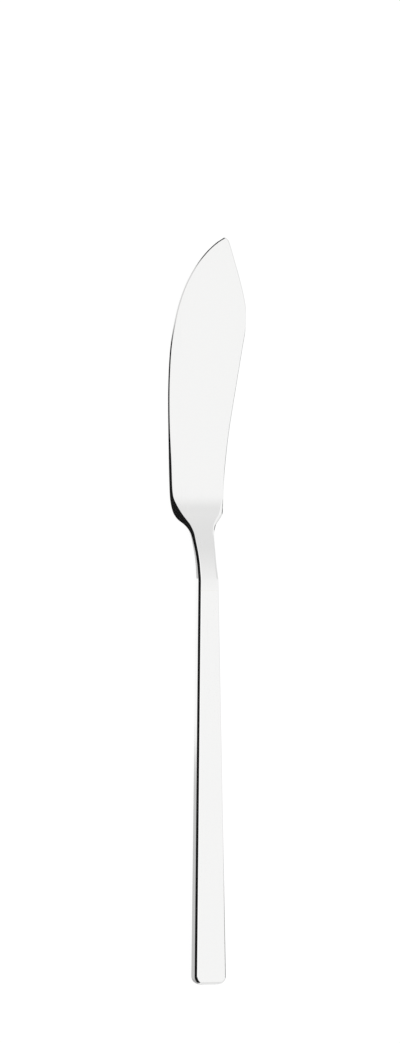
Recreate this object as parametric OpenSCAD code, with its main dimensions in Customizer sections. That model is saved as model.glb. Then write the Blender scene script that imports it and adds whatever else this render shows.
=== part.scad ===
// Table fish knife with a hollow handle, lying on its back.
// The handle is two pressed half shells brazed along both narrow sides and round the butt.
// The blade, its neck and its tang are one forging: the neck's shoulder is brazed to the
// handle's mouth, and the tang is held in the handle by a hard cement filling.
// Frame: +Y to the tip, +X to the spine, -X to the serving edge, +Z up.
// The origin is on the table, below the middle of the knife's box.

/* [Knife] */
// Length of the whole knife, from the butt to the tip
knife_length = 210; // [190:1:230]

/* [Handle] */
// Width of the handle at the butt
butt_width = 9.3; // [8:0.1:12]
// Thickness of the handle at the butt
butt_thickness = 4.4; // [3.8:0.1:6]
// Width of the handle at its mouth, where the neck begins
mouth_width = 6; // [5:0.1:7]
// Thickness of the handle at its mouth
mouth_thickness = 3.5; // [3:0.1:4.4]
// Radius of the handle's long edges
edge_round = 0.9; // [0.5:0.05:1.1]
// Radius of the butt's two corners, seen from above
butt_corner = 2.4; // [1:0.1:3]
// Wall of the pressed half shells
shell_wall = 0.5; // [0.4:0.05:0.6]
// Wall across the end of the butt
butt_wall = 0.8; // [0.6:0.1:1.5]

/* [Neck] */
// Length of the neck, from the handle's mouth to the blade's heel
neck_length = 22.5; // [18:0.5:26]
// Extra width of the ground serving edge where it turns round the heel
heel_bevel = 1.9; // [0.5:0.1:2.4]

/* [Blade] */
// Length of the blade, from its heel to its tip
blade_length = 76.9; // [68:0.1:86]
// Reach of the serving edge to one side of the handle's middle line
edge_reach = 11.6; // [9:0.1:14]
// Reach of the spine's hump to the other side
spine_reach = 11.6; // [9:0.1:14]
// Thickness of the blade
blade_thickness = 1.5; // [1.2:0.1:2]
// Width of the rounding along the blade's spine
blade_round = 0.4; // [0.25:0.05:0.6]
// Width of the ground serving edge, seen from above
edge_ground = 0.2; // [0.15:0.05:0.5]
// Width of the blunt end of the tip
tip_width = 0.4; // [0.2:0.1:0.8]

/* [Joints] */
// Length of the tang inside the handle
tang_length = 55; // [35:1:60]
// Cement between the tang and the shells, measured at the mouth
cement_gap = 0.35; // [0.2:0.05:0.45]
// Thickness of the brazed seams
braze_gap = 0.12; // [0.08:0.01:0.2]

/* [Hidden] */

// Overrun of every cut past the faces that it goes through
overrun = 1;
// Least radius of an inner corner
least_round = 0.15;

// Steps round one corner of a section, and along the neck, the blade and the butt's rounding
corner_steps = 5;
neck_steps = 19;
blade_steps = 44;
butt_steps = 7;

// Most of a section's half width or half height that a rounding takes
full_round_share = 0.92;
// Height of the blade's roundings for its thickness
blade_drop_share = 0.46;
// Drop of the heel's bevel for its width
bevel_drop_share = 0.45;
// Width of the heel's bevel on the spine's side for its width on the serving edge's side
spine_bevel_share = 0.45;
// A flatness is 0 for a rounding and 1 for a straight chamfer: the one of the serving edge,
// what the full heel bevel adds to it, and the one of the full bevel on the spine's side
edge_flatness = 0.5;
bevel_flatness = 0.6;
spine_flatness = 0.4;
// Size of the tang's end for its root
tang_end_share = 0.7;

tip_y = knife_length / 2;
butt_y = -knife_length / 2;
heel_y = tip_y - blade_length;
mouth_y = heel_y - neck_length;
handle_length = mouth_y - butt_y;
shoulder_y = mouth_y + braze_gap;
// The handle's middle line lies beside the origin, so that the whole box is centred on it
axis_x = (edge_reach - spine_reach) / 2;

// Places along the neck run from -1 at the mouth to 0 at the heel,
// and places along the blade run from 0 at the heel to 1 at the tip.
// A reach of 0 is the handle's side at its mouth, and a reach of 1 is the blade's full reach.
edge_shares = [
    [-1, 0], [-0.92, -0.003], [-0.844, -0.005], [-0.76, 0.008], [-0.676, 0.024], [-0.549, 0.068],
    [-0.422, 0.134], [-0.287, 0.225], [-0.228, 0.307], [-0.169, 0.452], [-0.11, 0.657],
    [-0.051, 0.784], [0, 0.847], [0.02, 0.897], [0.05, 0.937], [0.12, 0.965], [0.25, 0.987],
    [0.4, 1], [0.5, 0.98], [0.6, 0.916], [0.68, 0.796], [0.76, 0.613], [0.83, 0.369],
    [0.89, 0.062], [0.94, -0.277], [0.98, -0.66], [1, -0.936]
];
spine_shares = [
    [-1, 0], [-0.92, -0.003], [-0.844, -0.007], [-0.76, -0.035], [-0.676, -0.061], [-0.6, -0.078],
    [-0.506, -0.096], [-0.422, -0.115], [-0.35, -0.127], [-0.287, -0.128], [-0.253, -0.119],
    [-0.228, -0.107], [-0.169, -0.051], [-0.11, 0.062], [-0.084, 0.105], [-0.034, 0.174],
    [0.02, 0.196], [0.08, 0.209], [0.18, 0.28], [0.3, 0.41], [0.45, 0.639], [0.6, 0.875],
    [0.66, 0.97], [0.715, 1], [0.765, 0.963], [0.85, 0.784], [0.92, 0.598], [0.97, 0.465],
    [0.99, 0.397], [1, 0.304]
];
// Thickness, from 0 for the blade's to 1 for the mouth's
rise_shares = [
    [-1, 1], [-0.95, 0.968], [-0.9, 0.934], [-0.844, 0.894], [-0.76, 0.829], [-0.68, 0.764],
    [-0.6, 0.696], [-0.5, 0.607], [-0.4, 0.514], [-0.3, 0.422], [-0.2, 0.332], [-0.1, 0.245],
    [0, 0.163], [0.018, 0.114], [0.032, 0.08], [0.047, 0.049], [0.062, 0.025], [0.076, 0.01],
    [0.09, 0.001], [0.11, 0], [0.2, 0], [1, 0]
];
// Width of the heel's bevel, from 0 for none to 1 for its full width. A little of it comes
// back at the tip.
bevel_shares = [
    [-1, 0], [-0.5, 0.03], [-0.38, 0.08], [-0.3, 0.14], [-0.236, 0.24], [-0.177, 0.51],
    [-0.118, 0.92], [-0.075, 1], [-0.025, 0.95], [0.01, 0.76], [0.03, 0.51], [0.05, 0.29],
    [0.08, 0.21], [0.12, 0.2], [0.18, 0.18], [0.24, 0.1], [0.3, 0.03], [0.4, 0], [0.955, 0],
    [0.98, 0.07], [1, 0.13]
];

// Place along the neck and blade, as a distance from the butt to the tip
function y_of(place) = heel_y + place * (place < 0 ? neck_length : blade_length);

// Curve's points with their places turned into distances
function along(shares) = [for (point = shares) [y_of(point[0]), point[1]]];

// Slope of a curve at one of its points, taken from the points beside it
function slope_at(points, i) =
    let (
        before = points[max(i - 1, 0)],
        after = points[min(i + 1, len(points) - 1)]
    )
    (after[1] - before[1]) / (after[0] - before[0]);

// Height of the smooth curve through the points, a cubic between each two of them
function smooth(points, y) =
    let (
        i = max([for (j = [0:len(points) - 2]) if (j == 0 || points[j][0] <= y) j]),
        gap = points[i + 1][0] - points[i][0],
        s = (y - points[i][0]) / gap,
        turn_in = 3 * pow(s, 2) - 2 * pow(s, 3)
    )
    points[i][1] * (1 - turn_in)
        + points[i + 1][1] * turn_in
        + slope_at(points, i) * gap * s * pow(1 - s, 2)
        - slope_at(points, i + 1) * gap * pow(s, 2) * (1 - s);

edge_curve = along(edge_shares);
spine_curve = along(spine_shares);
rise_curve = along(rise_shares);
bevel_curve = along(bevel_shares);

// Size that changes evenly along the handle, and goes on past its ends
function taper(at_butt, at_mouth, y) =
    at_butt + (at_mouth - at_butt) * (y - butt_y) / handle_length;

function handle_thickness(y) = taper(butt_thickness, mouth_thickness, y);

// Height of the middle of the handle above the table: its back is flat on the table
function handle_middle(y) = handle_thickness(y) / 2;

// Amount that a quarter circle has turned in at a depth from its end
function turned_in(radius, depth) =
    depth < radius ? radius - sqrt(pow(radius, 2) - pow(radius - depth, 2)) : 0;

// Sine or cosine raised to a power, with its sign kept
function bent(value, power) = sign(value) * pow(abs(value), power);

// Closed ring of a rounded rectangle across the knife at y.
// The corners of each side, given as [width, drop, flatness], are quarter ellipses,
// and a flatness over 0 bends them towards a straight chamfer.
function ring(y, middle_x, middle_z, half_width, half_height, spine_corner, edge_corner) = [
    for (corner = [0:3])
        let (
            to_edge = corner == 1 || corner == 2,
            to_back = corner > 1,
            shape = to_edge ? edge_corner : spine_corner,
            across = min(shape[0], half_width * full_round_share),
            down = min(shape[1], half_height * full_round_share),
            centre_x = middle_x + (to_edge ? across - half_width : half_width - across),
            centre_z = middle_z + (to_back ? down - half_height : half_height - down)
        )
        for (step = [0:corner_steps])
            let (angle = 90 * (corner + step / corner_steps))
            [
                centre_x + across * bent(cos(angle), 1 + shape[2]),
                y,
                centre_z + down * bent(sin(angle), 1 + shape[2])
            ]
];

// Ring whose four corners are quarter circles of one radius
function even_ring(y, middle_z, half_width, half_height, radius) =
    let (corner = [radius, radius, 0])
    ring(y, axis_x, middle_z, half_width, half_height, corner, corner);

// Ring of the handle, drawn in by inset on all sides
function handle_ring(y, inset = 0) =
    let (
        half_width = taper(butt_width, mouth_width, y) / 2 - inset,
        half_height = handle_thickness(y) / 2 - inset
    )
    even_ring(y, handle_middle(y), half_width, half_height, max(edge_round - inset, least_round));

// Ring near the butt, where the two corners and the end's edges are rounded.
// The depth counts from the end, which itself lies a wall inside the butt.
function butt_ring(depth, inset = 0, wall = 0) =
    let (
        y = butt_y + wall + depth,
        corner = max(butt_corner - inset, least_round),
        edge = max(edge_round - inset, least_round),
        half_width = taper(butt_width, mouth_width, y) / 2 - inset - turned_in(corner, depth),
        half_height = handle_thickness(y) / 2 - inset - turned_in(edge, depth)
    )
    even_ring(y, handle_middle(y), half_width, half_height, edge);

// Ring of the neck and the blade, whose middle stays level with the middle of the mouth
function blade_ring(y) =
    let (
        mouth_half = mouth_width / 2,
        rise = smooth(rise_curve, y),
        bevel = smooth(bevel_curve, y),
        edge_side = mouth_half + (edge_reach - mouth_half) * smooth(edge_curve, y),
        spine_side = mouth_half + (spine_reach - mouth_half) * smooth(spine_curve, y),
        middle_x = axis_x + (spine_side - edge_side) / 2,
        half_width = max(edge_side + spine_side, tip_width) / 2,
        half_height = (blade_thickness + (mouth_thickness - blade_thickness) * rise) / 2,
        blade_drop = blade_thickness * blade_drop_share,
        drop = blade_drop + (edge_round - blade_drop) * rise,
        edge_bevel = heel_bevel * bevel,
        spine_bevel = edge_bevel * spine_bevel_share,
        spine_corner = [
            blade_round + (edge_round - blade_round) * rise + spine_bevel,
            drop + spine_bevel * bevel_drop_share,
            spine_flatness * bevel
        ],
        edge_corner = [
            edge_ground + (edge_round - edge_ground) * rise + edge_bevel,
            drop + edge_bevel * bevel_drop_share,
            edge_flatness * (1 - rise) + bevel_flatness * bevel
        ]
    )
    ring(y, middle_x, mouth_thickness / 2, half_width, half_height, spine_corner, edge_corner);

// Ring of the tang, which shrinks from the mouth to its end
function tang_ring(y) =
    let (
        shrink = 1 - (1 - tang_end_share) * max(mouth_y - y, 0) / tang_length,
        around = 2 * (shell_wall + cement_gap),
        half_width = (mouth_width - around) / 2 * shrink,
        half_height = (mouth_thickness - around) / 2 * shrink
    )
    even_ring(y, handle_middle(y), half_width, half_height, least_round * shrink);

// Solid skin over rings that all have the same number of points, in order along +Y
module loft(rings) {
    size = len(rings[0]);
    last = len(rings) - 1;
    sides = [
        for (r = [0:last - 1], i = [0:size - 1])
            let (
                a = r * size + i,
                b = r * size + (i + 1) % size
            )
            each [[a, b, b + size], [a, b + size, a + size]]
    ];
    first_cap = [for (i = [size - 1:-1:0]) i];
    last_cap = [for (i = [0:size - 1]) last * size + i];
    polyhedron([for (ring = rings) each ring], concat([first_cap, last_cap], sides));
}

// Handle from its rounded butt to a place near its mouth, drawn in by inset on all sides
module handle_solid(end_y, inset = 0, wall = 0) {
    deepest = max(butt_corner - inset, edge_round - inset, least_round);
    butt_rings = [
        for (step = [0:butt_steps])
            butt_ring(deepest * (1 - cos(90 * step / butt_steps)), inset, wall)
    ];
    loft(concat(butt_rings, [handle_ring(end_y, inset)]));
}

// Space inside the shells, from the wall across the butt to the mouth or past it
module handle_space(end_y) {
    handle_solid(end_y, shell_wall, butt_wall);
}

// Slab that follows the middle of the handle between two distances above it
module middle_slab(low, high) {
    far = butt_width;
    loft([
        for (y = [butt_y - overrun, mouth_y + overrun])
            let (middle = handle_middle(y))
            [
                [axis_x + far, y, middle + low],
                [axis_x + far, y, middle + high],
                [axis_x - far, y, middle + high],
                [axis_x - far, y, middle + low]
            ]
    ]);
}

// Part of the handle's wall between two distances above its middle
module handle_wall(low, high) {
    intersection() {
        difference() {
            handle_solid(mouth_y);
            handle_space(mouth_y + overrun);
        }
        middle_slab(low, high);
    }
}

// Tang, from its end to a place at or past the mouth
module tang(root_y) {
    loft([tang_ring(mouth_y - tang_length), tang_ring(mouth_y), tang_ring(root_y)]);
}

// Blade, neck and tang in one forging
module blade() {
    neck_rings = [
        for (step = [0:neck_steps - 1])
            blade_ring(shoulder_y + (heel_y - shoulder_y) * step / neck_steps)
    ];
    blade_rings = [
        for (step = [0:blade_steps])
            blade_ring(heel_y + blade_length * (1 - cos(180 * step / blade_steps)) / 2)
    ];
    color("gainsboro") union() {
        loft(concat(neck_rings, blade_rings));
        tang(shoulder_y + overrun);
    }
}

// Pressed half of the handle that faces up
module handle_front_shell() {
    color("lightgray") handle_wall(braze_gap / 2, butt_thickness);
}

// Pressed half of the handle that lies on the table
module handle_back_shell() {
    color("silver") handle_wall(-butt_thickness, -braze_gap / 2);
}

// Braze between the two shells, along both narrow sides and round the butt
module handle_seam_braze() {
    color("khaki") handle_wall(-braze_gap / 2, braze_gap / 2);
}

// Braze ring round the tang, between the neck's shoulder and the handle's mouth
module neck_braze() {
    color("khaki") difference() {
        loft([
            for (y = [mouth_y, shoulder_y])
                [for (point = handle_ring(mouth_y)) [point[0], y, point[2]]]
        ]);
        tang(shoulder_y + overrun);
    }
}

// Hard cement that fills the handle round the tang
module tang_cement() {
    color("dimgray") difference() {
        handle_space(mouth_y);
        tang(mouth_y + overrun);
    }
}

blade();
handle_front_shell();
handle_back_shell();
handle_seam_braze();
neck_braze();
tang_cement();
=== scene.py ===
"""Table fish knife in polished steel, lying on a white table and lit from above."""

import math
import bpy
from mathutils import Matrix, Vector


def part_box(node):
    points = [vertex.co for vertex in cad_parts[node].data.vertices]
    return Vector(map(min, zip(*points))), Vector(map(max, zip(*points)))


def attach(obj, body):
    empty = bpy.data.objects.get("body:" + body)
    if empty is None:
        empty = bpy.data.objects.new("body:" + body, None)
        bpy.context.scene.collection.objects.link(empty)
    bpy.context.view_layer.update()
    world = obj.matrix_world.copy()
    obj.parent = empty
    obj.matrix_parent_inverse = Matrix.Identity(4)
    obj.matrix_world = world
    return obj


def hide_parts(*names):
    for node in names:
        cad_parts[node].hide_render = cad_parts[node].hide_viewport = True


bl_info = {
    "name": "Fish Knife",
    "version": (1, 0, 0),
    "blender": (4, 5, 0),
    "location": "3D View > Sidebar > Fish Knife",
    "description": "Polished blade and handle over the knife's solids, with table, light and camera",
    "category": "Add Mesh",
}

import bpy
import numpy as np
from bpy.props import FloatProperty, FloatVectorProperty, PointerProperty
from mathutils import Matrix, Vector

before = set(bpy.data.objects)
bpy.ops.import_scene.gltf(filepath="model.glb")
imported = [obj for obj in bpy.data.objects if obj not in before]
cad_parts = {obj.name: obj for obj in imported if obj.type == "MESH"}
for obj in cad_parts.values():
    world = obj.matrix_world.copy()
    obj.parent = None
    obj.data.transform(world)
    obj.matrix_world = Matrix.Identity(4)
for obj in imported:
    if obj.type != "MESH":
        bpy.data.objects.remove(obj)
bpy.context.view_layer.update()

# Places that the solids give, in metres
BUTT_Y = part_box("handle_back_shell")[0].y
RING_LOW, RING_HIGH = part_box("neck_braze")
BLADE_LOW, BLADE_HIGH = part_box("blade")
MOUTH_Y = RING_LOW.y
SHOULDER_Y = RING_HIGH.y
TIP_Y = BLADE_HIGH.y
TANG_END_Y = BLADE_LOW.y
AXIS_X = (RING_LOW.x + RING_HIGH.x) / 2
MOUTH_WIDTH = RING_HIGH.x - RING_LOW.x
MOUTH_THICKNESS = RING_HIGH.z - RING_LOW.z
# Directions along the knife
TO_BUTT = np.array([0.0, -1.0, 0.0])
TO_TIP = np.array([0.0, 1.0, 0.0])

# Steps of the surfaces
CORNER_STEPS = 18
NECK_STEPS = 120
BLADE_STEPS = 260
BUTT_STEPS = 28
HANDLE_STEPS = 24
TANG_STEPS = 12
# Most of a section's half width or half height that a rounding takes
FULL_ROUND = 0.92
# Drop of the blade's roundings for its thickness, and of the heel's bevel for its width
BLADE_DROP = 0.46
BEVEL_DROP = 0.45
# Flatness of the serving edge, and what the heel's bevel adds to it at its fullest
EDGE_FLATNESS = 0.5
BEVEL_FLATNESS = 0.6
# Width and flatness of the heel's bevel on the spine's side
SPINE_BEVEL = 0.45
SPINE_FLATNESS = 0.4
# Part of the tang's section at the mouth that is left at its end
TANG_END_SHARE = 0.7
# Least length that a direction is divided by when it is scaled to 1
LEAST_LENGTH = 1e-12

# Outline of the neck and blade. A place is -1 at the mouth, 0 at the heel and 1 at the tip.
# A reach of 0 is the handle's side at its mouth, and a reach of 1 is the blade's full reach.
EDGE_SHARES = np.array([
    [-1, 0], [-0.92, -0.003], [-0.844, -0.005], [-0.76, 0.008], [-0.676, 0.024], [-0.549, 0.068],
    [-0.422, 0.134], [-0.287, 0.225], [-0.228, 0.307], [-0.169, 0.452], [-0.11, 0.657],
    [-0.051, 0.784], [0, 0.847], [0.02, 0.897], [0.05, 0.937], [0.12, 0.965], [0.25, 0.987],
    [0.4, 1], [0.5, 0.98], [0.6, 0.916], [0.68, 0.796], [0.76, 0.613], [0.83, 0.369],
    [0.89, 0.062], [0.94, -0.277], [0.98, -0.66], [1, -0.936],
])
SPINE_SHARES = np.array([
    [-1, 0], [-0.92, -0.003], [-0.844, -0.007], [-0.76, -0.035], [-0.676, -0.061], [-0.6, -0.078],
    [-0.506, -0.096], [-0.422, -0.115], [-0.35, -0.127], [-0.287, -0.128], [-0.253, -0.119],
    [-0.228, -0.107], [-0.169, -0.051], [-0.11, 0.062], [-0.084, 0.105], [-0.034, 0.174],
    [0.02, 0.196], [0.08, 0.209], [0.18, 0.28], [0.3, 0.41], [0.45, 0.639], [0.6, 0.875],
    [0.66, 0.97], [0.715, 1], [0.765, 0.963], [0.85, 0.784], [0.92, 0.598], [0.97, 0.465],
    [0.99, 0.397], [1, 0.304],
])
# Thickness, from 0 for the blade's to 1 for the mouth's
RISE_SHARES = np.array([
    [-1, 1], [-0.95, 0.968], [-0.9, 0.934], [-0.844, 0.894], [-0.76, 0.829], [-0.68, 0.764],
    [-0.6, 0.696], [-0.5, 0.607], [-0.4, 0.514], [-0.3, 0.422], [-0.2, 0.332], [-0.1, 0.245],
    [0, 0.163], [0.018, 0.114], [0.032, 0.08], [0.047, 0.049], [0.062, 0.025], [0.076, 0.01],
    [0.09, 0.001], [0.11, 0], [0.2, 0], [1, 0],
])
# Width of the heel's bevel, from 0 for none to 1 for its full width. A little of it comes
# back at the tip.
BEVEL_SHARES = np.array([
    [-1, 0], [-0.5, 0.03], [-0.38, 0.08], [-0.3, 0.14], [-0.236, 0.24], [-0.177, 0.51],
    [-0.118, 0.92], [-0.075, 1], [-0.025, 0.95], [0.01, 0.76], [0.03, 0.51], [0.05, 0.29],
    [0.08, 0.21], [0.12, 0.2], [0.18, 0.18], [0.24, 0.1], [0.3, 0.03], [0.4, 0], [0.955, 0],
    [0.98, 0.07], [1, 0.13],
])

# Polishing lines, hairlines and haze: repeats of each pattern in a metre, along the three axes,
# the hairlines' turn from the knife's length, and the noise between which a hairline appears
LINE_REPEATS = (9000.0, 160.0, 9000.0)
HAIRLINE_REPEATS = (2600.0, 70.0, 2600.0)
HAIRLINE_TURN = (0.0, 0.0, 0.7)
HAIRLINE_NOISE = (0.66, 0.74)
HAZE_REPEATS = 55.0
# Sand in the cement: repeats in a metre, depth, and its darkest tone as a part of the cement's
SAND_REPEATS = 2500.0
SAND_DEPTH = 0.00005
SAND_DARK = 0.6
CEMENT_ROUGHNESS = 0.85

# Level of the table, a little below the knife, so that the two never share a plane
TABLE_Z = -0.00002
# Brightness of the table for the camera, what its matte part gives of that when it isn't shaded,
# and its grey for all other rays
TABLE_GLOW = 1.02
TABLE_MATTE = 0.8
TABLE_GREY = (0.8, 0.8, 0.8, 1.0)
# Rows of the picture that the size of a pixel counts
PICTURE_ROWS = 1043

# The studio that the polished metal sees. Each is a ramp: the input where it begins and ends,
# and its value at the two. Turns are in radians, 0 towards the serving edge and negative
# towards the tip. The other inputs are parts of a direction's length.
# Dark room: its strip beyond the tip and how that fades, its wide part from the tip's side of
# the serving edge on, and its end towards the butt, which moves with the height
DARK_TIP_START = (-1.75, -1.55, 0.0, 1.0)
DARK_TIP_FADE = (-1.05, -0.9, 1.0, 0.3)
DARK_EDGE_START = (-0.45, -0.2, 0.0, 1.0)
DARK_END_MOVE = (0.4, 0.75, 0.0, -0.28)
DARK_END = (1.27, 1.5, 1.0, 0.0)
# Dark room: height of its top for each turn, softness of the top, its foot, and the part of
# the light that it takes away
DARK_TOP = (0.0, 0.35, 0.82, 0.93)
DARK_TOP_SOFT = (-0.04, 0.04, 1.0, 0.0)
DARK_FOOT = (-0.935, -0.9, 0.0, 1.0)
DARK_SHARE = 0.99
# Ceiling: its fall towards the tip and towards the butt, and the gleam on the serving edge's
# side, which the butt's end doesn't see
CEILING_TIP = (0.043, 0.081, 0.957, 0.752)
CEILING_BUTT = (-0.55, -0.16, 0.8, 0.957)
GLEAM = (-0.2, 0.1, 0.12, 0.0)
GLEAM_BUTT = (-0.25, -0.1, 0.0, 1.0)
# Table: its shaded and its pale part, the line between them and how that shifts, and how it
# grows bright again towards the butt, everywhere or on the spine's side
TABLE_SHADED = (0.0, 0.3, 0.56, 0.12)
TABLE_PALE = (0.0, 0.3, 1.0, 0.85)
TABLE_LINE = (-0.0262, -0.0205, 0.0, 1.0)
TABLE_LINE_SHIFT = (0.0, 0.3, 0.0, 0.0165)
TABLE_BUTT = (-0.6, -0.25, 0.9, 0.0)
TABLE_BUTT_SPINE = (-0.25, -0.08, 0.75, 0.0)
SPINE_SIDE = (0.0, 0.3, 0.0, 1.0)
# Step from the table to the ceiling
HORIZON = (-0.15, 0.1, 1.0, 0.0)
# Painted shade of the knife on the ground right under it, which only the steel's reflections show:
# the side away from the serving edge, its depth, and its brightness
SHADE_UNDER_SIDE = (-0.3, -0.12, 0.0, 1.0)
SHADE_UNDER_DEPTH = (-0.93, -0.85, 1.0, 0.0)
SHADE_UNDER_TONE = 0.4


class FishKnifeShape(bpy.types.PropertyGroup):
    """Sizes of the knife that its solids share."""

    butt_width: FloatProperty(
        name="Butt width",
        description="Width of the handle at the butt, before its corners are rounded",
        default=0.0093, min=0.001, unit="LENGTH",
    )
    butt_thickness: FloatProperty(
        name="Butt thickness",
        description="Thickness of the handle at the butt",
        default=0.0044, min=0.001, unit="LENGTH",
    )
    butt_corner: FloatProperty(
        name="Butt corner",
        description="Radius of the butt's corners, seen from above",
        default=0.0024, min=0.0002, unit="LENGTH",
    )
    edge_round: FloatProperty(
        name="Edge rounding",
        description="Radius of the handle's long edges",
        default=0.0009, min=0.0001, unit="LENGTH",
    )
    shell_wall: FloatProperty(
        name="Shell wall",
        description="Wall of the two half shells",
        default=0.0005, min=0.0001, unit="LENGTH",
    )
    butt_wall: FloatProperty(
        name="Butt wall",
        description="Wall across the end of the butt",
        default=0.0008, min=0.0001, unit="LENGTH",
    )
    least_round: FloatProperty(
        name="Least rounding",
        description="Radius of the shells' inner corners",
        default=0.00015, min=0.00001, unit="LENGTH",
    )
    seam_gap: FloatProperty(
        name="Seam",
        description="Thickness of the braze between the half shells",
        default=0.00012, min=0.00001, unit="LENGTH",
    )
    blade_length: FloatProperty(
        name="Blade length",
        description="Length of the blade from its heel to its tip",
        default=0.0769, min=0.01, unit="LENGTH",
    )
    blade_thickness: FloatProperty(
        name="Blade thickness",
        description="Thickness of the blade",
        default=0.0015, min=0.0002, unit="LENGTH",
    )
    edge_reach: FloatProperty(
        name="Edge reach",
        description="Reach of the serving edge from the handle's middle line",
        default=0.0116, min=0.001, unit="LENGTH",
    )
    spine_reach: FloatProperty(
        name="Spine reach",
        description="Reach of the spine's hump from the handle's middle line",
        default=0.0116, min=0.001, unit="LENGTH",
    )
    blade_round: FloatProperty(
        name="Blade rounding",
        description="Width of the rounding along the blade's spine",
        default=0.0004, min=0.00005, unit="LENGTH",
    )
    edge_ground: FloatProperty(
        name="Ground edge",
        description="Width of the ground serving edge, seen from above",
        default=0.0002, min=0.00005, unit="LENGTH",
    )
    heel_bevel: FloatProperty(
        name="Heel bevel",
        description="Extra width of the ground serving edge where it turns round the heel",
        default=0.0019, min=0.0, unit="LENGTH",
    )
    tip_width: FloatProperty(
        name="Tip width",
        description="Width of the blunt end of the tip",
        default=0.0004, min=0.00005, unit="LENGTH",
    )
    tang_inset: FloatProperty(
        name="Tang inset",
        description="Distance from the handle's outside to the tang at the mouth",
        default=0.00085, min=0.0001, unit="LENGTH",
    )


class FishKnifeFinish(bpy.types.PropertyGroup):
    """Colours and polish of the knife's materials."""

    steel_colour: FloatVectorProperty(
        name="Steel",
        description="Colour of the polished steel",
        default=(0.95, 0.95, 0.945), min=0.0, max=1.0, size=3, subtype="COLOR",
    )
    braze_colour: FloatVectorProperty(
        name="Silver braze",
        description="Colour of the brazed seams",
        default=(0.93, 0.92, 0.88), min=0.0, max=1.0, size=3, subtype="COLOR",
    )
    cement_colour: FloatVectorProperty(
        name="Cement",
        description="Colour of the filling inside the handle",
        default=(0.12, 0.11, 0.1), min=0.0, max=1.0, size=3, subtype="COLOR",
    )
    polish: FloatProperty(
        name="Polish",
        description="Roughness of the polished steel where it is clean",
        default=0.045, min=0.0, max=1.0, subtype="FACTOR",
    )
    line_depth: FloatProperty(
        name="Polishing lines",
        description="Depth of the fine lines that polishing leaves",
        default=0.0000002, min=0.0, unit="LENGTH",
    )


class FishKnifeStage(bpy.types.PropertyGroup):
    """Table, light and camera."""

    table_size: FloatProperty(
        name="Table size",
        description="Side of the white table",
        default=6.0, min=0.5, unit="LENGTH",
    )
    table_shade: FloatProperty(
        name="Table shade",
        description="Share of the table's brightness that the object's shadow can take",
        default=0.15, min=0.0, max=1.0, subtype="FACTOR",
    )
    camera_distance: FloatProperty(
        name="Camera distance",
        description="Distance of the camera from the knife",
        default=2.0, min=0.1, unit="LENGTH",
    )
    camera_lean: FloatProperty(
        name="Camera lean",
        description="Lean of the camera from straight above towards the serving edge",
        default=math.radians(19), unit="ROTATION",
    )
    camera_roll: FloatProperty(
        name="Camera roll",
        description="Turn of the picture that leans the handle's end to the right",
        default=math.radians(0.1), unit="ROTATION",
    )
    photo_scale: FloatProperty(
        name="Size of a pixel",
        description="Width of one pixel of the picture at the knife",
        default=0.0002814, min=0.00001, unit="LENGTH",
    )
    aim_x: FloatProperty(
        name="Aim across",
        description="Where the picture's middle lies across the knife",
        default=-0.00156, unit="LENGTH",
    )
    aim_y: FloatProperty(
        name="Aim along",
        description="Where the picture's middle lies along the knife",
        default=0.02514, unit="LENGTH",
    )


def smooth(shape, shares, y):
    """Height of a smooth curve at each y: a cubic between each two points, with the slope
    at a point taken from the points beside it."""
    places, heights = shares.T
    heel_y = TIP_Y - shape.blade_length
    places = heel_y + places * np.where(places < 0, heel_y - MOUTH_Y, shape.blade_length)
    before = np.maximum(np.arange(len(places)) - 1, 0)
    after = np.minimum(np.arange(len(places)) + 1, len(places) - 1)
    slopes = (heights[after] - heights[before]) / (places[after] - places[before])
    i = np.clip(np.searchsorted(places, y, side="right") - 1, 0, len(places) - 2)
    gap = places[i + 1] - places[i]
    s = (y - places[i]) / gap
    turn_in = 3 * s**2 - 2 * s**3
    return (
        heights[i] * (1 - turn_in)
        + heights[i + 1] * turn_in
        + slopes[i] * gap * s * (1 - s) ** 2
        - slopes[i + 1] * gap * s**2 * (1 - s)
    )


def turned_in(radius, depth):
    """Amount that a quarter circle has turned in at each depth from its end."""
    left = np.clip(radius - depth, 0, None)
    return radius - np.sqrt(radius**2 - left**2)


def section_rings(y, middle_x, middle_z, half_width, half_height, spine_corner, edge_corner):
    """Rings of a rounded rectangle across the knife, one for each y. Each side's corners have a
    width, a drop and a flatness. A corner is a quarter ellipse: width times the cosine and drop
    times the sine of an angle that runs over 90 degrees. Both are raised to the power 1 plus the
    flatness, which bends the ellipse towards a straight chamfer."""
    corner = np.repeat(np.arange(4), CORNER_STEPS + 1)
    step = np.tile(np.arange(CORNER_STEPS + 1), 4)
    angle = np.pi / 2 * (corner + step / CORNER_STEPS)
    side_x = np.where((corner == 1) | (corner == 2), -1.0, 1.0)
    side_z = np.where(corner > 1, -1.0, 1.0)
    y, middle_x, middle_z, half_width, half_height, *corners = (
        np.asarray(value, float)[:, None]
        for value in np.broadcast_arrays(
            y, middle_x, middle_z, half_width, half_height, *spine_corner, *edge_corner
        )
    )
    width, drop, flatness = (
        np.where(side_x > 0, corners[i], corners[i + 3]) for i in range(3)
    )
    width = np.minimum(width, half_width * FULL_ROUND)
    drop = np.minimum(drop, half_height * FULL_ROUND)
    across = np.abs(np.cos(angle)) ** (1 + flatness)
    down = np.abs(np.sin(angle)) ** (1 + flatness)
    x = middle_x + side_x * (half_width - width + width * across)
    z = middle_z + side_z * (half_height - drop + drop * down)
    return np.stack([x, np.broadcast_to(y, x.shape), z], axis=-1)


def outward(rings, around):
    """Outward direction at each point of a run of rings: the cross product of the direction
    along the run, taken from the rings beside it, and the direction round the ring."""
    normals = np.cross(np.gradient(rings, axis=0), around)
    lengths = np.linalg.norm(normals, axis=-1, keepdims=True)
    return normals / np.maximum(lengths, LEAST_LENGTH)


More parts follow.
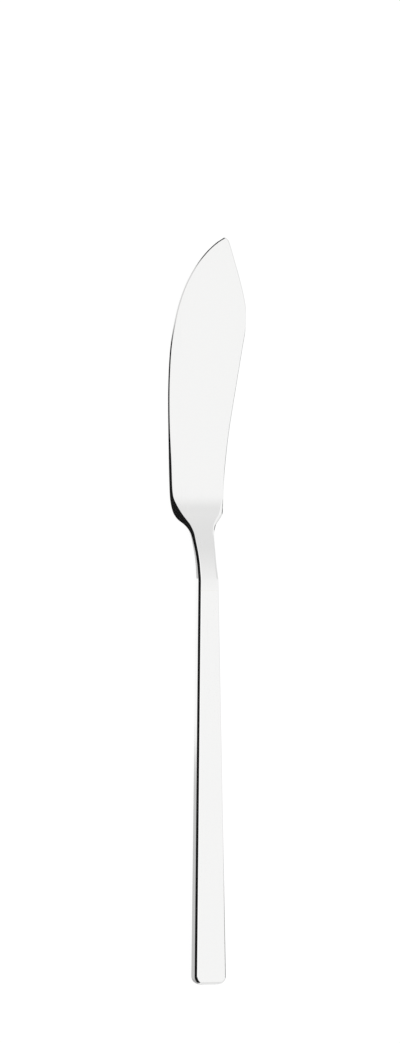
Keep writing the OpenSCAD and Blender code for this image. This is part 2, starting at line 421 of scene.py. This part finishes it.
def ring_normals(rings):
    """Outward direction at each point of closed rings."""
    return outward(rings, np.roll(rings, -1, axis=1) - np.roll(rings, 1, axis=1))


def path_normals(path):
    """Outward direction at each point of open rings, with the end points looking sideways."""
    return outward(path, np.gradient(path, axis=1))


def ring_quads(count, size):
    """Corner numbers of the faces between neighbouring rings, which point outwards."""
    r, i = np.meshgrid(np.arange(count - 1), np.arange(size), indexing="ij")
    a = r * size + i
    b = r * size + (i + 1) % size
    return np.stack([a, a + size, b + size, b], axis=-1).reshape(-1, 4)


def new_piece(name, points, quads, normals, caps, material, nodes):
    """Object of a surface with its own normals. Each cap is a flat face and its direction."""
    faces = [list(map(int, quad)) for quad in quads] + [list(map(int, cap[0])) for cap in caps]
    corner_normals = np.concatenate(
        [normals[quads].reshape(-1, 3)]
        + [np.tile(direction, (len(cap), 1)) for cap, direction in caps]
    )
    mesh = bpy.data.meshes.new(name)
    mesh.from_pydata(points.tolist(), [], faces)
    mesh.shade_smooth()
    mesh.normals_split_custom_set(corner_normals.tolist())
    mesh.materials.append(material)
    piece = bpy.data.objects.new(name, mesh)
    bpy.context.scene.collection.objects.link(piece)
    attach(piece, "root")
    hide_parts(*nodes)
    return piece


def taper(at_butt, at_mouth, y):
    """Size that changes evenly along the handle."""
    return at_butt + (at_mouth - at_butt) * (y - BUTT_Y) / (MOUTH_Y - BUTT_Y)


def handle_middle(shape, y):
    """Height of the middle of the handle, whose back is flat on the table."""
    return taper(shape.butt_thickness, MOUTH_THICKNESS, y) / 2


def blade_rings(shape):
    """Rings of the neck and blade: the outline's two sides are smooth curves along the knife,
    and the thickness falls from the mouth's to the blade's."""
    heel_y = TIP_Y - shape.blade_length
    neck = np.linspace(SHOULDER_Y, heel_y, NECK_STEPS, endpoint=False)
    turn = np.linspace(0, np.pi, BLADE_STEPS + 1)
    y = np.concatenate([neck, heel_y + shape.blade_length * (1 - np.cos(turn)) / 2])
    mouth_half = MOUTH_WIDTH / 2
    left = mouth_half + (shape.edge_reach - mouth_half) * smooth(shape, EDGE_SHARES, y)
    right = mouth_half + (shape.spine_reach - mouth_half) * smooth(shape, SPINE_SHARES, y)
    rise = smooth(shape, RISE_SHARES, y)
    bevel = smooth(shape, BEVEL_SHARES, y)
    blade_drop = shape.blade_thickness * BLADE_DROP
    drop = blade_drop + (shape.edge_round - blade_drop) * rise
    spine_width = shape.blade_round + (shape.edge_round - shape.blade_round) * rise
    edge_width = shape.edge_ground + (shape.edge_round - shape.edge_ground) * rise
    edge_bevel = shape.heel_bevel * bevel
    spine_bevel = edge_bevel * SPINE_BEVEL
    return section_rings(
        y,
        AXIS_X + (right - left) / 2,
        MOUTH_THICKNESS / 2,
        np.maximum(left + right, shape.tip_width) / 2,
        (shape.blade_thickness + (MOUTH_THICKNESS - shape.blade_thickness) * rise) / 2,
        (spine_width + spine_bevel, drop + spine_bevel * BEVEL_DROP, SPINE_FLATNESS * bevel),
        (
            edge_width + edge_bevel, drop + edge_bevel * BEVEL_DROP,
            EDGE_FLATNESS * (1 - rise) + BEVEL_FLATNESS * bevel,
        ),
    )


def tang_rings(shape):
    """Rings of the tang, from its end to the neck's shoulder. It grows thinner to its end."""
    y = np.linspace(TANG_END_Y, SHOULDER_Y, TANG_STEPS)
    inside = np.clip(MOUTH_Y - y, 0, None) / (MOUTH_Y - TANG_END_Y)
    shrink = 1 - (1 - TANG_END_SHARE) * inside
    rounding = (shape.least_round * shrink, shape.least_round * shrink, 0)
    return section_rings(
        y,
        AXIS_X,
        handle_middle(shape, y),
        (MOUTH_WIDTH / 2 - shape.tang_inset) * shrink,
        (MOUTH_THICKNESS / 2 - shape.tang_inset) * shrink,
        rounding,
        rounding,
    )


def handle_rings(shape, inset=0.0, wall=0.0):
    """Rings of the handle from its rounded butt to its mouth, drawn in by inset all round.
    The first ones follow a quarter circle in plan and another over the end's edges."""
    corner = max(shape.butt_corner - inset, shape.least_round)
    edge = max(shape.edge_round - inset, shape.least_round)
    turn = np.linspace(0, np.pi / 2, BUTT_STEPS, endpoint=False)
    near = max(corner, edge) * (1 - np.cos(turn))
    far = np.linspace(max(corner, edge), MOUTH_Y - BUTT_Y - wall, HANDLE_STEPS)
    depth = np.concatenate([near, far])
    y = BUTT_Y + wall + depth
    half_width = taper(shape.butt_width, MOUTH_WIDTH, y) / 2 - inset - turned_in(corner, depth)
    half_height = handle_middle(shape, y) - inset - turned_in(edge, depth)
    rounding = (edge, edge, 0)
    return section_rings(
        y, AXIS_X, handle_middle(shape, y), half_width, half_height, rounding, rounding
    )


def upper_path(rings, middle, gap):
    """Upper half of each ring, from the seam on the right over the top to the seam on the left."""
    half = rings[:, : 2 * (CORNER_STEPS + 1)]
    ends = half[:, [0, -1]].copy()
    ends[..., 2] = (middle + gap / 2)[:, None]
    return np.concatenate([ends[:, :1], half, ends[:, 1:]], axis=1)


def shell_surface(shape, side):
    """Points, faces, normals and caps of one half shell. Its rings go over the outside and back
    along the inside. The side is 1 for the front half and -1 for the back, its mirror image."""
    outer = handle_rings(shape)
    inner = handle_rings(shape, shape.shell_wall, shape.butt_wall)
    outer_path = upper_path(outer, handle_middle(shape, outer[:, 0, 1]), shape.seam_gap)
    inner_path = upper_path(inner, handle_middle(shape, inner[:, 0, 1]), shape.seam_gap)
    rings = np.concatenate([outer_path, inner_path[:, ::-1]], axis=1)
    count, size = rings.shape[:2]
    half = size // 2
    normals = np.concatenate(
        [path_normals(outer_path), -path_normals(inner_path)[:, ::-1]], axis=1
    )
    middle = handle_middle(shape, rings[..., 1])
    rings[..., 2] = middle + side * (rings[..., 2] - middle)
    normals[..., 2] *= side
    quads = ring_quads(count, size)
    last = (count - 1) * size
    pair = np.arange(half - 1)
    mouth = np.stack(
        [last + pair, last + size - 1 - pair, last + size - 2 - pair, last + pair + 1], axis=-1
    )
    # The seam's faces look at the other half: one across the butt's wall, and two strips
    to_seam = np.array([0.0, 0.0, -float(side)])
    caps = [(np.arange(half), TO_BUTT), (np.arange(half, size), TO_TIP)]
    caps += [(np.array([half, size - 1, 0, half - 1]), to_seam)]
    caps += [(face, TO_TIP) for face in mouth]
    caps += [(quad, to_seam) for quad in quads[half - 1 :: size]]
    caps += [(quad, to_seam) for quad in quads[size - 1 :: size]]
    index = np.arange(len(quads)) % size
    quads = quads[(index != half - 1) & (index != size - 1)]
    if side < 0:
        quads = quads[:, ::-1]
        caps = [(np.asarray(face)[::-1], direction) for face, direction in caps]
    return rings.reshape(-1, 3), quads, normals.reshape(-1, 3), caps


def add_node(tree, kind, settings=None, inputs=None):
    """Node of a kind in a tree, with its settings and the values or links of its inputs."""
    node = tree.nodes.new(kind)
    for key, value in (settings or {}).items():
        setattr(node, key, value)
    for key, value in (inputs or {}).items():
        if isinstance(value, bpy.types.NodeSocket):
            tree.links.new(value, node.inputs[key])
        else:
            node.inputs[key].default_value = value
    return node


def maths(tree, operation, first, second=0.0):
    """Output of a Math node."""
    node = add_node(tree, "ShaderNodeMath", {"operation": operation}, {0: first, 1: second})
    return node.outputs[0]


def polish_group():
    """Node group of what polishing and use leave on steel: fine lines along the knife, a few
    stray hairlines across them, and a faint haze that changes over centimetres. It puts out
    the roughness and the height of the surface."""
    name = "Polishing marks"
    if name in bpy.data.node_groups:
        return bpy.data.node_groups[name]
    group = bpy.data.node_groups.new(name, "ShaderNodeTree")
    for entry in ("Polish", "Haze", "Hairlines"):
        group.interface.new_socket(entry, in_out="INPUT", socket_type="NodeSocketFloat")
    for result in ("Roughness", "Height"):
        group.interface.new_socket(result, in_out="OUTPUT", socket_type="NodeSocketFloat")
    start = add_node(group, "NodeGroupInput")
    place = add_node(group, "ShaderNodeTexCoord").outputs["Object"]
    lines = add_node(group, "ShaderNodeMapping", None, {
        "Vector": place, "Scale": LINE_REPEATS,
    })
    fine = add_node(group, "ShaderNodeTexNoise", None, {
        "Vector": lines.outputs[0], "Scale": 1.0, "Detail": 3.0, "Roughness": 0.6,
    })
    slanted = add_node(group, "ShaderNodeMapping", None, {
        "Vector": place, "Rotation": HAIRLINE_TURN, "Scale": HAIRLINE_REPEATS,
    })
    stray = add_node(group, "ShaderNodeTexNoise", None, {
        "Vector": slanted.outputs[0], "Scale": 1.0, "Detail": 2.0,
    })
    scratch = add_node(group, "ShaderNodeMapRange", None, {
        "Value": stray.outputs[0],
        "From Min": HAIRLINE_NOISE[0], "From Max": HAIRLINE_NOISE[1],
    })
    cloud = add_node(group, "ShaderNodeTexNoise", None, {
        "Vector": place, "Scale": HAZE_REPEATS, "Detail": 4.0, "Roughness": 0.55,
    })
    haze = maths(group, "MULTIPLY", cloud.outputs[0], start.outputs["Haze"])
    drag = maths(group, "MULTIPLY", scratch.outputs[0], start.outputs["Hairlines"])
    dull = maths(group, "ADD", start.outputs["Polish"], haze)
    rough = maths(group, "ADD", dull, drag)
    height = maths(group, "SUBTRACT", fine.outputs[0], scratch.outputs[0])
    add_node(group, "NodeGroupOutput", None, {"Roughness": rough, "Height": height})
    return group


def new_material(name):
    """Empty material and its node tree with a Principled shader."""
    material = bpy.data.materials.new(name)
    material.use_nodes = True
    tree = material.node_tree
    tree.nodes.clear()
    shader = add_node(tree, "ShaderNodeBsdfPrincipled")
    add_node(tree, "ShaderNodeOutputMaterial", None, {"Surface": shader.outputs[0]})
    return material, tree, shader


def steel_material(name, colour, finish, haze, hairlines):
    """Polished metal with polishing lines, hairlines and haze."""
    if name in bpy.data.materials:
        return bpy.data.materials[name]
    material, tree, shader = new_material(name)
    marks = add_node(tree, "ShaderNodeGroup", {"node_tree": polish_group()}, {
        "Polish": finish.polish, "Haze": haze, "Hairlines": hairlines,
    })
    bump = add_node(tree, "ShaderNodeBump", None, {
        "Distance": finish.line_depth, "Height": marks.outputs["Height"],
    })
    shader.inputs["Base Color"].default_value = (*colour, 1.0)
    shader.inputs["Metallic"].default_value = 1.0
    tree.links.new(marks.outputs["Roughness"], shader.inputs["Roughness"])
    tree.links.new(bump.outputs[0], shader.inputs["Normal"])
    return material


def cement_material(finish):
    """Dull grey filling with fine sand in it."""
    material, tree, shader = new_material("Handle cement")
    place = add_node(tree, "ShaderNodeTexCoord").outputs["Object"]
    sand = add_node(tree, "ShaderNodeTexNoise", None, {
        "Vector": place, "Scale": SAND_REPEATS, "Detail": 5.0,
    })
    dark = [SAND_DARK * part for part in finish.cement_colour]
    colour = add_node(tree, "ShaderNodeValToRGB", None, {"Fac": sand.outputs[0]})
    colour.color_ramp.elements[0].color = (*dark, 1.0)
    colour.color_ramp.elements[1].color = (*finish.cement_colour, 1.0)
    bump = add_node(tree, "ShaderNodeBump", None, {
        "Distance": SAND_DEPTH, "Height": sand.outputs[0],
    })
    shader.inputs["Roughness"].default_value = CEMENT_ROUGHNESS
    tree.links.new(colour.outputs[0], shader.inputs["Base Color"])
    tree.links.new(bump.outputs[0], shader.inputs["Normal"])
    return material


def paint_node(node, material):
    """Gives a node of the frame its material."""
    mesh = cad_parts[node].data
    mesh.materials.clear()
    mesh.materials.append(material)


class FISHKNIFE_OT_blade(bpy.types.Operator):
    """Blade, neck and tang as one polished surface"""

    bl_idname = "fish_knife.blade"
    bl_label = "Blade"

    def execute(self, context):
        shape, finish = context.scene.fish_knife_shape, context.scene.fish_knife_finish
        blade, tang = blade_rings(shape), tang_rings(shape)
        rings = np.concatenate([tang, blade])
        normals = np.concatenate([ring_normals(tang), ring_normals(blade)])
        count, size = rings.shape[:2]
        quads = ring_quads(count, size)
        # Between the tang's last ring and the neck's first one lies the flat shoulder
        step = (len(tang) - 1) * size
        shoulder = quads[step : step + size]
        quads = np.concatenate([quads[:step], quads[step + size :]])
        tip = np.arange(count * size - 1, (count - 1) * size - 1, -1)
        caps = [(np.arange(size), TO_BUTT), (tip, TO_TIP)]
        caps += [(quad, TO_BUTT) for quad in shoulder]
        steel = steel_material(
            "Blade steel", finish.steel_colour, finish, haze=0.03, hairlines=0.08
        )
        new_piece(
            "blade_polished", rings.reshape(-1, 3), quads, normals.reshape(-1, 3),
            caps, steel, ["blade"],
        )
        return {"FINISHED"}


class FISHKNIFE_OT_handle(bpy.types.Operator):
    """Front and back half shells of the handle"""

    bl_idname = "fish_knife.handle"
    bl_label = "Handle shells"

    def execute(self, context):
        shape, finish = context.scene.fish_knife_shape, context.scene.fish_knife_finish
        steel = steel_material(
            "Handle steel", finish.steel_colour, finish, haze=0.035, hairlines=0.1
        )
        for name, side in (("handle_front", 1), ("handle_back", -1)):
            points, quads, normals, caps = shell_surface(shape, side)
            new_piece(
                name + "_polished", points, quads, normals, caps, steel,
                [name + "_shell"],
            )
        return {"FINISHED"}


class FISHKNIFE_OT_brazing(bpy.types.Operator):
    """Brazed seam of the handle and brazed ring at the neck"""

    bl_idname = "fish_knife.brazing"
    bl_label = "Brazing"

    def execute(self, context):
        finish = context.scene.fish_knife_finish
        braze = steel_material(
            "Silver braze", finish.braze_colour, finish, haze=0.05, hairlines=0.1
        )
        for node in ("handle_seam_braze", "neck_braze"):
            paint_node(node, braze)
        return {"FINISHED"}


class FISHKNIFE_OT_filling(bpy.types.Operator):
    """Cement filling inside the handle"""

    bl_idname = "fish_knife.filling"
    bl_label = "Filling"

    def execute(self, context):
        paint_node("tang_cement", cement_material(context.scene.fish_knife_finish))
        return {"FINISHED"}


def table_material(shade):
    """White table that keeps a share of its brightness for the object's shadow."""
    material = bpy.data.materials.new("White table")
    material.use_nodes = True
    tree = material.node_tree
    tree.nodes.clear()
    glow = add_node(tree, "ShaderNodeEmission", None, {
        "Strength": TABLE_GLOW - shade * TABLE_MATTE,
    })
    matte = add_node(tree, "ShaderNodeBsdfDiffuse", None, {"Color": (shade, shade, shade, 1.0)})
    both = add_node(tree, "ShaderNodeAddShader", None, {0: glow.outputs[0], 1: matte.outputs[0]})
    plain = add_node(tree, "ShaderNodeBsdfDiffuse", None, {"Color": TABLE_GREY})
    seen = add_node(tree, "ShaderNodeLightPath").outputs["Is Camera Ray"]
    mix = add_node(tree, "ShaderNodeMixShader", None, {
        0: seen, 1: plain.outputs[0], 2: both.outputs[0],
    })
    add_node(tree, "ShaderNodeOutputMaterial", None, {"Surface": mix.outputs[0]})
    return material


def ramp(tree, value, low, high, at_low, at_high):
    """Output that goes smoothly from one value to another as its input goes from low to high."""
    node = add_node(tree, "ShaderNodeMapRange", {"interpolation_type": "SMOOTHSTEP"}, {
        "Value": value, "From Min": low, "From Max": high, "To Min": at_low, "To Max": at_high,
    })
    return node.outputs[0]


def mixed(tree, share, first, second):
    """Output of a Mix node that goes from the first value to the second."""
    return add_node(tree, "ShaderNodeMix", {"data_type": "FLOAT"}, {
        0: share, 2: first, 3: second,
    }).outputs[0]


def dark_room(tree, turn, up):
    """1 where the sky shows the dark room beyond the serving edge and 0 elsewhere. The turn is
    the direction's angle round the upright axis, 0 towards the serving edge."""
    beyond_tip = maths(
        tree, "MULTIPLY", ramp(tree, turn, *DARK_TIP_START), ramp(tree, turn, *DARK_TIP_FADE)
    )
    wide = maths(tree, "MAXIMUM", beyond_tip, ramp(tree, turn, *DARK_EDGE_START))
    turn_end = maths(tree, "ADD", turn, ramp(tree, up, *DARK_END_MOVE))
    wide = maths(tree, "MULTIPLY", wide, ramp(tree, turn_end, *DARK_END))
    above = maths(tree, "SUBTRACT", up, ramp(tree, turn, *DARK_TOP))
    high = maths(tree, "MULTIPLY", wide, ramp(tree, above, *DARK_TOP_SOFT))
    return maths(tree, "MULTIPLY", high, ramp(tree, up, *DARK_FOOT))


def ceiling_light(tree, across, along):
    """Brightness of the ceiling, with the gleam on the serving edge's side."""
    ceiling = maths(
        tree, "MINIMUM", ramp(tree, along, *CEILING_TIP), ramp(tree, along, *CEILING_BUTT)
    )
    gleam = maths(tree, "MULTIPLY", ramp(tree, across, *GLEAM), ramp(tree, along, *GLEAM_BUTT))
    return maths(tree, "ADD", ceiling, gleam)


def table_light(tree, across, along):
    """Brightness of the studio's table, and 1 where it is pale and 0 where it is shaded."""
    line = maths(tree, "ADD", along, ramp(tree, across, *TABLE_LINE_SHIFT))
    near = ramp(tree, line, *TABLE_LINE)
    table = mixed(tree, near, ramp(tree, across, *TABLE_SHADED), ramp(tree, across, *TABLE_PALE))
    far_spine = maths(
        tree, "MULTIPLY", ramp(tree, along, *TABLE_BUTT_SPINE), ramp(tree, across, *SPINE_SIDE)
    )
    far = maths(tree, "MAXIMUM", ramp(tree, along, *TABLE_BUTT), far_spine)
    return maths(tree, "MAXIMUM", table, far), near


def studio_world():
    """Plain white light, and a studio that only polished metal sees: a bright ceiling, a pale table
    with painted shade of the knife near and under it, and a dark room beyond the serving edge."""
    world = bpy.data.worlds.new("Studio")
    world.use_nodes = True
    tree = world.node_tree
    tree.nodes.clear()
    direction = add_node(tree, "ShaderNodeTexCoord").outputs["Generated"]
    parts = add_node(tree, "ShaderNodeSeparateXYZ", None, {0: direction})
    across, along, up = parts.outputs["X"], parts.outputs["Y"], parts.outputs["Z"]
    left = maths(tree, "MULTIPLY", across, -1.0)
    back = maths(tree, "MULTIPLY", along, -1.0)
    turn = maths(tree, "ARCTAN2", back, left)
    table, near = table_light(tree, across, along)
    room = mixed(tree, ramp(tree, up, *HORIZON), ceiling_light(tree, across, along), table)
    # Painted shade of the knife on the ground right under it, only where the studio's table is
    # shaded
    under = maths(
        tree, "MULTIPLY", ramp(tree, across, *SHADE_UNDER_SIDE), ramp(tree, up, *SHADE_UNDER_DEPTH)
    )
    under = maths(tree, "MULTIPLY", under, maths(tree, "SUBTRACT", 1.0, near))
    room = mixed(tree, under, room, SHADE_UNDER_TONE)
    dark = maths(tree, "MULTIPLY", dark_room(tree, turn, up), DARK_SHARE)
    seen = maths(tree, "MULTIPLY", room, maths(tree, "SUBTRACT", 1.0, dark))
    path = add_node(tree, "ShaderNodeLightPath")
    strength = mixed(tree, path.outputs["Is Glossy Ray"], 1.0, seen)
    background = add_node(tree, "ShaderNodeBackground", None, {
        "Color": (1.0, 1.0, 1.0, 1.0), "Strength": strength,
    })
    add_node(tree, "ShaderNodeOutputWorld", None, {"Surface": background.outputs[0]})
    return world


class FISHKNIFE_OT_stage(bpy.types.Operator):
    """White table, studio light and camera"""

    bl_idname = "fish_knife.stage"
    bl_label = "Stage"

    def execute(self, context):
        scene, stage = context.scene, context.scene.fish_knife_stage
        side = stage.table_size / 2
        corners = [(-side, -side), (side, -side), (side, side), (-side, side)]
        mesh = bpy.data.meshes.new("table")
        mesh.from_pydata([(x, y, TABLE_Z) for x, y in corners], [], [(0, 1, 2, 3)])
        mesh.materials.append(table_material(stage.table_shade))
        table = bpy.data.objects.new("table", mesh)
        scene.collection.objects.link(table)
        table.visible_glossy = False
        scene.world = studio_world()
        scene.view_settings.view_transform = "Standard"
        scene.camera = self.camera(scene, stage)
        return {"FINISHED"}

    def camera(self, scene, stage):
        """Camera that looks down on the knife, leaning to its serving edge."""
        lean, roll = stage.camera_lean, stage.camera_roll
        back = Vector((-math.sin(lean), 0.0, math.cos(lean)))
        level = Vector((math.cos(lean), 0.0, math.sin(lean)))
        ahead = Vector((0.0, 1.0, 0.0))
        right = level * math.cos(roll) - ahead * math.sin(roll)
        up = level * math.sin(roll) + ahead * math.cos(roll)
        data = bpy.data.cameras.new("camera")
        # The sensor's width lies along the picture's longer side, which is its height
        picture_height = PICTURE_ROWS * stage.photo_scale
        data.lens = data.sensor_width * stage.camera_distance / picture_height
        data.clip_start, data.clip_end = 0.01, 100.0
        camera = bpy.data.objects.new("camera", data)
        scene.collection.objects.link(camera)
        place = Vector((stage.aim_x, stage.aim_y, 0.0)) + back * stage.camera_distance
        turn = Matrix((right, up, back)).transposed().to_4x4()
        camera.matrix_world = Matrix.Translation(place) @ turn
        return camera


class FISHKNIFE_PT_panel(bpy.types.Panel):
    """Panel in the sidebar with the knife's operators and values"""

    bl_label = "Fish Knife"
    bl_space_type = "VIEW_3D"
    bl_region_type = "UI"
    bl_category = "Fish Knife"

    def draw(self, context):
        for operator in OPERATORS:
            self.layout.operator(operator.bl_idname)
        for name in GROUPS:
            group = getattr(context.scene, name)
            box = self.layout.box()
            for key in group.__annotations__:
                box.prop(group, key)


OPERATORS = (
    FISHKNIFE_OT_blade,
    FISHKNIFE_OT_handle,
    FISHKNIFE_OT_brazing,
    FISHKNIFE_OT_filling,
    FISHKNIFE_OT_stage,
)
GROUPS = {
    "fish_knife_shape": FishKnifeShape,
    "fish_knife_finish": FishKnifeFinish,
    "fish_knife_stage": FishKnifeStage,
}


def register():
    """Adds the values, the operators and the panel to Blender."""
    for group in GROUPS.values():
        bpy.utils.register_class(group)
    for name, group in GROUPS.items():
        setattr(bpy.types.Scene, name, PointerProperty(type=group))
    for operator in OPERATORS:
        bpy.utils.register_class(operator)
    bpy.utils.register_class(FISHKNIFE_PT_panel)


def unregister():
    """Takes the panel, the operators and the values out of Blender again."""
    bpy.utils.unregister_class(FISHKNIFE_PT_panel)
    for operator in reversed(OPERATORS):
        bpy.utils.unregister_class(operator)
    for name in GROUPS:
        delattr(bpy.types.Scene, name)
    for group in reversed(GROUPS.values()):
        bpy.utils.unregister_class(group)


def main():
    """Builds the knife and its stage."""
    register()
    bpy.ops.fish_knife.blade()
    bpy.ops.fish_knife.handle()
    bpy.ops.fish_knife.brazing()
    bpy.ops.fish_knife.filling()
    bpy.ops.fish_knife.stage()


if __name__ == "__main__":
    main()
